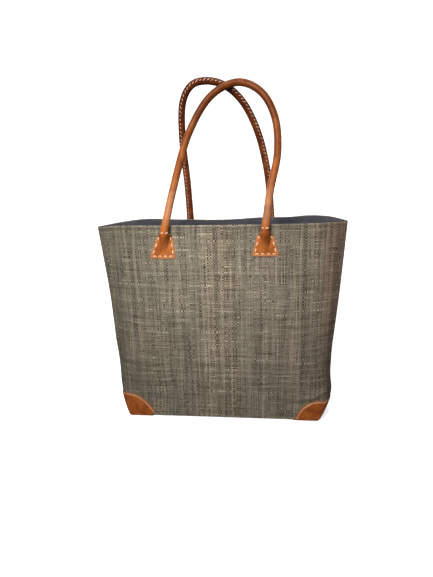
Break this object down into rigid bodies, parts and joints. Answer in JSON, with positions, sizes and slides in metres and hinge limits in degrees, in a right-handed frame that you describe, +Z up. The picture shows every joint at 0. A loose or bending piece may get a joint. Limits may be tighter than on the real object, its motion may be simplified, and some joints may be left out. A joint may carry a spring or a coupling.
{
  "type": "woven raffia tote basket",
  "caption": "Tall soft knitting basket of woven raffia with a boxed base, folded leather corners, a cloth lining and hinged rolled-leather carrying loops sewn to tabs.",
  "frame": {"origin": "on the floor under the middle of the base", "axes": "+X to the right, +Y to the back and +Z up, seen from the front"},
  "size_m": [0.4544, 0.1298, 0.639],
  "materials": {
    "raffia": "woven raffia, matte",
    "lining_cloth": "plain woven cotton, matte",
    "board": "stiff fibre board, matte",
    "tan_leather": "vegetable-tanned, satin",
    "worn_leather": "vegetable-tanned and darkened, satin",
    "flesh_leather": "flesh side, matte",
    "cord_core": "twisted cotton cord, matte"
  },
  "bodies": {
    "bag": {"front_panel": "raffia", "front_lining": "lining_cloth", "front_left_corner": "worn_leather", "front_left_tab": "tan_leather", "front_left_inner_patch": "flesh_leather", "front_right_corner": "worn_leather", "front_right_tab": "tan_leather", "front_right_inner_patch": "flesh_leather", "back_panel": "raffia", "back_lining": "lining_cloth", "back_left_corner": "worn_leather", "back_left_tab": "tan_leather", "back_left_inner_patch": "flesh_leather", "back_right_corner": "worn_leather", "back_right_tab": "tan_leather", "back_right_inner_patch": "flesh_leather", "base_board": "board"},
    "front_handle": {"front_handle_sleeve": "tan_leather", "front_handle_core": "cord_core"},
    "back_handle": {"back_handle_sleeve": "tan_leather", "back_handle_core": "cord_core"}
  },
  "joints": [
    {"name": "front_handle_fold", "type": "hinge", "parent": "bag", "child": "front_handle", "pos_m": [0, -0.05963, 0.381], "axis": [1, 0, 0], "range_deg": [0, 110]},
    {"name": "back_handle_fold", "type": "hinge", "parent": "bag", "child": "back_handle", "pos_m": [0, 0.05604, 0.381], "axis": [-1, 0, 0], "range_deg": [0, 110]}
  ]
}
